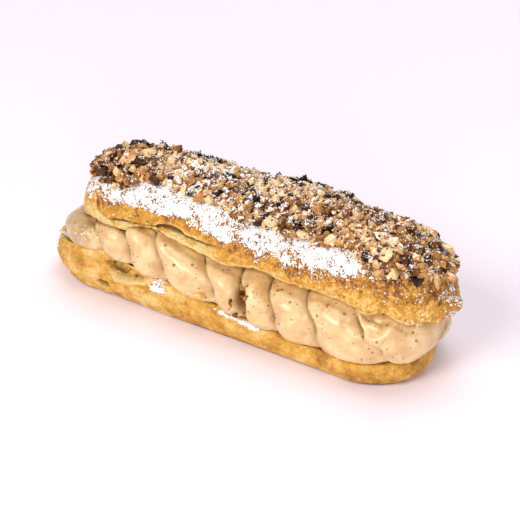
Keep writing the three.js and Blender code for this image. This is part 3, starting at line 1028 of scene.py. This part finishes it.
def spread_nuts(nuts, rng):
    """Places for nuts, largest first, each clear of those before it, with their radii."""
    share = np.sort(rng.random(nuts.count))[::-1] ** 3
    radii = nuts.smallest + (nuts.largest - nuts.smallest) * share
    x, y, placed, _ = np.array(LARGE_NUTS).T
    spots = above_lid(x, y, bed_depth(x, y) + 0.35 * placed)
    ways = lid_way(x, y)
    for radius in radii:
        for _ in range(25):
            x, y = in_bed(rng, 0.03)
            spot = above_lid(x, y, bed_depth(x, y) * rng.uniform(0.75, 1.15) + 0.2 * radius)
            if np.any(np.linalg.norm(spots - spot, axis=1) < 0.6 * (radius + placed)):
                continue
            spots = np.concatenate([spots, spot])
            ways = np.concatenate([ways, lid_way(x, y)])
            placed = np.append(placed, radius)
            break
    return spots, ways, placed


def surface_of(*names):
    """The finished surfaces of pieces, to set small things on."""
    points = []
    faces = []
    for name in names:
        mesh = bpy.data.objects[name].data
        faces.extend([corner + len(points) for corner in face.vertices] for face in mesh.polygons)
        points.extend(vert.co / MM for vert in mesh.vertices)
    return BVHTree.FromPolygons(points, faces)


NUT_KINDS = ("nuts_straw", "nuts_caramel", "nuts_dark")


def kind_of(x, y, rng):
    """Which roast a chip is: darker in places, towards the left end and the back."""
    darkness = rng.random() + 0.06 + 0.26 * step_up(-x, 36, 50)
    darkness += 0.15 * step_up(y, 2, 9)
    darkness -= 0.08 * step_up(x, 15, 30)
    darkness += 0.3 * noise.noise((x / 7, y / 7, 3.5))
    return int(darkness > 0.45) + int(darkness > 0.82)


class PASTRY_OT_chopped_nuts(bpy.types.Operator):
    """Adds the nut crust: a sticky bed, and nuts and crumbs of three roasts"""

    bl_idname = "pastry.chopped_nuts"
    bl_label = "Chopped nuts"

    def execute(self, context):
        nuts = context.scene.nuts
        white = context.scene.sugar.white
        rng = np.random.default_rng(NUT_SEED)

        sticky = roasted_nut("caramel_bed", nuts.caramel, nuts.bed, white, 0.35)
        mesh, marks = skin_mesh("nut_bed", (420, 70), bed_skin, bed_relief)
        points = np.array([vert.co for vert in mesh.vertices]) / MM
        plan_y = unsettle(points[:, 0], points[:, 1])
        edge = LID.reach(points[:, 0], plan_y) / bed_reach(points[:, 0], plan_y)
        # Deepest in the middle, where the bed shows only between nuts, as painted shade; caramel at its
        # edges
        marks["tone_and_shade"] = 1.0 + 0.3 * lumps(points, 2, 8) - 0.55 * step_up(edge, 0.75, 0.95)
        marks["dust"] = 0.25 * dusting(points[:, 0])
        finished("nut_bed", mesh, marks, "nut_crust", sticky)

        shapes = chip_shapes(NUT_SHAPES, corners=13, proportions=(1.15, 1.0, 0.8), rng=rng)
        shapes += chip_shapes(CRUMB_SHAPES, corners=8, proportions=(1.1, 1.0, 0.85), rng=rng)
        spots, ways, radii = spread_nuts(nuts, rng)
        picks = list(rng.integers(0, NUT_SHAPES, len(spots)))
        places = [lying(*nut, 0.5, rng) for nut in zip(spots, ways, radii)]
        points, faces, _, _ = joined(shapes, picks, places)
        bed = bpy.data.objects["nut_bed"].data
        points = [*points.tolist(), *(vert.co / MM for vert in bed.vertices)]
        start = len(points) - len(bed.vertices)
        faces += [[corner + start for corner in face.vertices] for face in bed.polygons]
        surface = BVHTree.FromPolygons(points, faces)
        for _ in range(nuts.crumbs):
            x, y = in_bed(rng, 0.05)
            way = Vector(lid_way(x, y)[0])
            spot, normal, _, _ = surface.ray_cast(above_lid(x, y, 15)[0], -way)
            if spot is None:
                continue
            radius = nuts.smallest * rng.uniform(0.35, 0.95)
            picks.append(NUT_SHAPES + rng.integers(0, CRUMB_SHAPES))
            places.append(lying(spot + normal * 0.35 * radius, normal, radius, 0.6, rng))

        centres = np.array([place[:3, 3] for place in places])
        kinds = np.array([kind_of(x, y, rng) for x, y, z in centres])
        kinds[:len(LARGE_NUTS)] = [kind for x, y, radius, kind in LARGE_NUTS]
        # A higher tone is a deeper colour: a large dark nut's roast, and painted shade on crumbs in the gaps
        tones_and_shade = rng.uniform(-0.15, 0.8, len(picks))
        tones_and_shade[len(spots):] += 0.25
        large_dark = (np.arange(len(picks)) < len(LARGE_NUTS)) & (kinds == DARK)
        tones_and_shade[large_dark] += 0.5
        # Away from the left end, dark nuts are darker and pale ones paler
        contrast = step_up(centres[:, 0], -34, -20)
        tones_and_shade += contrast * (0.35 * (kinds == DARK) - 0.15 * (kinds == STRAW))
        dusts = dusting(centres[:, 0]) * rng.uniform(0.55, 1.25, len(picks))
        dusts[large_dark] *= 0.3
        roasts = [
            (nuts.straw, nuts.caramel, 0.45),
            (nuts.caramel, nuts.brown, 0.4),
            (nuts.brown, nuts.skin, 0.33),
        ]
        for kind, (name, (light, deep, gloss)) in enumerate(zip(NUT_KINDS, roasts)):
            rows = np.flatnonzero(kinds == kind)
            points, faces, skins, counts = joined(
                shapes, [picks[row] for row in rows], [places[row] for row in rows]
            )
            mesh = bpy.data.meshes.new(name)
            mesh.from_pydata((points * MM).tolist(), [], faces)
            marks = {
                "tone_and_shade": np.repeat(tones_and_shade[rows], counts) + 0.7 * skins,
                "dust": np.repeat(dusts[rows], counts),
            }
            finish = roasted_nut(name, light, deep, white, gloss)
            finished(name, mesh, marks, "nut_crust", finish, faceted=True)
        return {"FINISHED"}


CREAM_GRAINS = 30
CREAM_GRAINS_X, CREAM_GRAINS_Z = -53, 25


class PASTRY_OT_icing_sugar(bpy.types.Operator):
    """Adds the loose icing sugar on the nuts, the lid and the cream's left end"""

    bl_idname = "pastry.icing_sugar"
    bl_label = "Icing sugar"

    def execute(self, context):
        sugar = context.scene.sugar
        rng = np.random.default_rng(NUT_SEED + 1)
        shapes = chip_shapes(CRUMB_SHAPES, corners=8, proportions=(1.0, 1.0, 0.7), rng=rng)
        places = []
        surface = surface_of("nut_bed", *NUT_KINDS)
        for _ in range(sugar.grains):
            x, y = in_bed(rng, 0.05)
            spot, normal, _, _ = surface.ray_cast((x[0], settle(x, y)[0], 90), (0, 0, -1))
            if spot is None or rng.random() > 1.3 * dusting(spot.x):
                continue
            radius = rng.uniform(0.15, 0.42)
            places.append(lying(spot + normal * 0.2 * radius, normal, radius, 0.5, rng))
        lid = bpy.data.objects["choux_lid_shell"].data
        amounts = np.empty(len(lid.vertices), np.float32)
        lid.attributes["sugar"].data.foreach_get("value", amounts)
        chances = amounts / amounts.sum()
        for row in rng.choice(len(amounts), sugar.grains, p=chances):
            vert = lid.vertices[row]
            radius = rng.uniform(0.15, 0.5)
            places.append(lying(vert.co / MM, vert.normal, radius, 0.5, rng))
        surface = surface_of("piped_cream")
        for _ in range(CREAM_GRAINS):
            start = (rng.normal(CREAM_GRAINS_X, 1.8), -60, rng.normal(CREAM_GRAINS_Z, 1.2))
            spot, normal, _, _ = surface.ray_cast(start, (0, 1, 0))
            if spot is not None:
                places.append(lying(spot, normal, rng.uniform(0.15, 0.4), 0.5, rng))
        picks = rng.integers(0, CRUMB_SHAPES, len(places))
        points, faces, _, _ = joined(shapes, picks, places)
        mesh = bpy.data.meshes.new("icing_sugar")
        mesh.from_pydata((points * MM).tolist(), [], faces)
        finished("icing_sugar", mesh, {}, "choux_lid", icing_sugar(sugar.white))
        return {"FINISHED"}


# The stuck crumb's place and radius, and a point beside the rim where the flake lies
NUB = (72.8, -4.8, 30.4, 2.2)
NUB_PROPORTIONS = (1.5, 1.15, 1.05)
FLAKE = (-7.4, -23.6, 16.4)
FLAKE_RADII = (2.6, 0.7, 0.55)
FLAKE_TILT = 0.12
# How many bits lie in the praline gap, how many flecks in the rest of the cream, and how far they spread
PRALINE_BITS = 46
PRALINE_BITS_Z = (13, 25)
CREAM_BITS = 60
CREAM_BITS_X = (-66, 68)
CREAM_BITS_Z = (12, 28)


class PASTRY_OT_crumbs(bpy.types.Operator):
    """Adds the praline bits in the cream and the loose choux crumbs"""

    bl_idname = "pastry.crumbs"
    bl_label = "Crumbs"

    def execute(self, context):
        nuts = context.scene.nuts
        white = context.scene.sugar.white
        rng = np.random.default_rng(NUT_SEED + 2)
        shapes = chip_shapes(CRUMB_SHAPES, corners=9, proportions=(1.2, 0.9, 0.7), rng=rng)
        surface = surface_of("piped_cream")
        places = []
        for number in range(PRALINE_BITS + CREAM_BITS):
            in_gap = number < PRALINE_BITS
            x = rng.normal(PRALINE_GAP_X - 0.4, 1.2) if in_gap else rng.uniform(*CREAM_BITS_X)
            z = rng.uniform(*(PRALINE_BITS_Z if in_gap else CREAM_BITS_Z))
            side = -1 if in_gap or number % 3 else 1
            spot, normal, _, _ = surface.ray_cast((x, 60 * side, z), (0, -side, 0))
            if spot is None:
                continue
            radius = rng.uniform(0.5, 1.3) if in_gap else rng.uniform(0.2, 0.45)
            sunk = -0.35 if in_gap else 0.15
            places.append(lying(spot - normal * sunk * radius, normal, radius, 0.6, rng))
        picks = rng.integers(0, CRUMB_SHAPES, len(places))
        points, faces, _, counts = joined(shapes, picks, places)
        mesh = bpy.data.meshes.new("praline_bits")
        mesh.from_pydata((points * MM).tolist(), [], faces)
        marks = {
            "tone_and_shade": np.repeat(rng.uniform(-0.2, 0.9, len(places)), counts),
            "dust": np.zeros(len(points)),
        }
        finish = roasted_nut("praline_bits", nuts.caramel, nuts.brown, white, 0.35)
        finished("praline_bits", mesh, marks, "praline_cream", finish)

        shape = bmesh.new()
        x, y, z, radius = NUB
        nub = bmesh.ops.create_icosphere(shape, subdivisions=4, radius=radius)["verts"]
        bmesh.ops.scale(shape, vec=NUB_PROPORTIONS, verts=nub)
        rim = surface_of("choux_base_shell", "piped_cream").find_nearest(FLAKE)[0]
        flake = bmesh.ops.create_icosphere(shape, subdivisions=3, radius=1)["verts"]
        bmesh.ops.scale(shape, vec=FLAKE_RADII, verts=flake)
        bmesh.ops.rotate(shape, cent=(0, 0, 0), matrix=Matrix.Rotation(FLAKE_TILT, 3, "Y"), verts=flake)
        bmesh.ops.translate(shape, vec=rim, verts=flake)
        bmesh.ops.translate(shape, vec=(x, y, z), verts=list(set(shape.verts) - set(flake)))
        shape.normal_update()
        points = np.array([vert.co for vert in shape.verts])
        bumps = 0.9 * lumps(points, 2.2, 3, 3)
        for vert, bump in zip(shape.verts, bumps):
            vert.co += vert.normal * bump
        up = np.array([vert.normal.z for vert in shape.verts])
        marks = {
            "bake": np.where(points[:, 0] > 0, 0.8, 0.05) + 0.5 * bumps,
            "sugar": np.where(points[:, 0] > 0, 0.52, 0.15) * step_up(up - 0.5 * bumps, -0.2, 0.6),
        }
        mesh = bpy.data.meshes.new("choux_crumbs")
        bmesh.ops.transform(shape, matrix=Matrix.Scale(MM, 4), verts=shape.verts)
        shape.to_mesh(mesh)
        shape.free()
        finish = bpy.data.materials["sugared_choux"]
        finished("choux_crumbs", mesh, marks, "choux_lid", finish)
        return {"FINISHED"}


CAMERA_TURN = 31
CAMERA_RISE = 32.5
CAMERA_LENS = 114.4
CAMERA_DISTANCE = 540
CAMERA_TARGET = (-3.43, -1.0, 24)
CAMERA_ASIDE = 4.9
CAMERA_DOWN = 4.25
FLOOR_HALF_METRES = 3
SKY_COLOUR = (1, 0.97, 1, 1)


class PASTRY_OT_stage(bpy.types.Operator):
    """Adds the floor, the lights and the camera"""

    bl_idname = "pastry.stage"
    bl_label = "Stage"

    def execute(self, context):
        scene = context.scene
        settings = scene.stage
        shape = bmesh.new()
        bmesh.ops.create_grid(shape, x_segments=4, y_segments=4, size=FLOOR_HALF_METRES)
        mesh = bpy.data.meshes.new("floor")
        shape.to_mesh(mesh)
        shape.free()
        floor = bpy.data.objects.new("floor", mesh)
        scene.collection.objects.link(floor)
        finish, add, _ = start_finish("plain_floor")
        matt = {"Base Color": settings.floor, "Roughness": 0.9, "Specular IOR Level": 0.1}
        add("OutputMaterial", {"Surface": add("BsdfPrincipled", matt)})
        mesh.materials.append(finish)

        scene.view_settings.view_transform = "Standard"
        world = bpy.data.worlds.new("surroundings")
        world.use_nodes = True
        background = world.node_tree.nodes["Background"]
        background.inputs["Color"].default_value = SKY_COLOUR
        background.inputs["Strength"].default_value = settings.sky
        scene.world = world

        # Each light's power in watts, then its size and place in metres
        lamps = [
            ("key", settings.key_power, 0.35, (-0.1, -0.73, 0.67), "#fffaf4"),
            ("top", settings.top_power, 0.6, (0.0, 0.15, 1.0), "#ffffff"),
            ("fill", settings.fill_power, 0.34, (0.52, -0.82, 0.26), "#ffffff"),
            ("back", settings.back_power, 0.5, (0.1, 0.9, 0.45), "#ffffff"),
        ]
        for name, power, size, spot, code in lamps:
            lamp = bpy.data.lights.new(name, "AREA")
            lamp.energy = power
            lamp.size = size
            lamp.color = linear(code)
            holder = bpy.data.objects.new(name, lamp)
            holder.location = spot
            holder.rotation_euler = Vector(spot).to_track_quat("Z", "Y").to_euler()
            scene.collection.objects.link(holder)

        camera = bpy.data.cameras.new("camera")
        camera.sensor_width = 36
        camera.lens = CAMERA_LENS
        holder = bpy.data.objects.new("camera", camera)
        turn = Euler((math.radians(90 - CAMERA_RISE), 0, math.radians(CAMERA_TURN))).to_matrix()
        right, up, back = (Vector(turn.col[axis]) for axis in range(3))
        target = Vector(CAMERA_TARGET) * MM
        spot = target + CAMERA_DISTANCE * MM * back
        holder.location = spot + CAMERA_ASIDE * MM * right - CAMERA_DOWN * MM * up
        holder.rotation_euler = turn.to_euler()
        scene.collection.objects.link(holder)
        scene.camera = holder
        return {"FINISHED"}


class PASTRY_PT_panel(bpy.types.Panel):
    """Lists the steps that build the pastry"""

    bl_idname = "PASTRY_PT_panel"
    bl_label = "Paris-brest"
    bl_space_type = "VIEW_3D"
    bl_region_type = "UI"
    bl_category = "Pastry"

    def draw(self, context):
        for group, step in STEPS:
            box = self.layout.box()
            box.operator(step.bl_idname)
            settings = getattr(context.scene, group)
            for setting in settings.bl_rna.properties:
                if setting.identifier not in {"rna_type", "name"}:
                    box.prop(settings, setting.identifier)


GROUPS = {
    "choux": ChouxSettings,
    "cream": CreamSettings,
    "nuts": NutSettings,
    "sugar": SugarSettings,
    "stage": StageSettings,
}
STEPS = [
    ("choux", PASTRY_OT_choux_base),
    ("cream", PASTRY_OT_praline_cream),
    ("sugar", PASTRY_OT_choux_lid),
    ("nuts", PASTRY_OT_chopped_nuts),
    ("sugar", PASTRY_OT_icing_sugar),
    ("nuts", PASTRY_OT_crumbs),
    ("stage", PASTRY_OT_stage),
]
CLASSES = [*GROUPS.values(), *(step for group, step in STEPS), PASTRY_PT_panel]


def register():
    for kind in CLASSES:
        bpy.utils.register_class(kind)
    for group, kind in GROUPS.items():
        setattr(bpy.types.Scene, group, PointerProperty(type=kind))


def unregister():
    for group in GROUPS:
        delattr(bpy.types.Scene, group)
    for kind in reversed(CLASSES):
        bpy.utils.unregister_class(kind)


def main():
    register()
    bpy.ops.pastry.choux_base()
    bpy.ops.pastry.praline_cream()
    bpy.ops.pastry.choux_lid()
    bpy.ops.pastry.chopped_nuts()
    bpy.ops.pastry.icing_sugar()
    bpy.ops.pastry.crumbs()
    bpy.ops.pastry.stage()


if __name__ == "__main__":
    main()
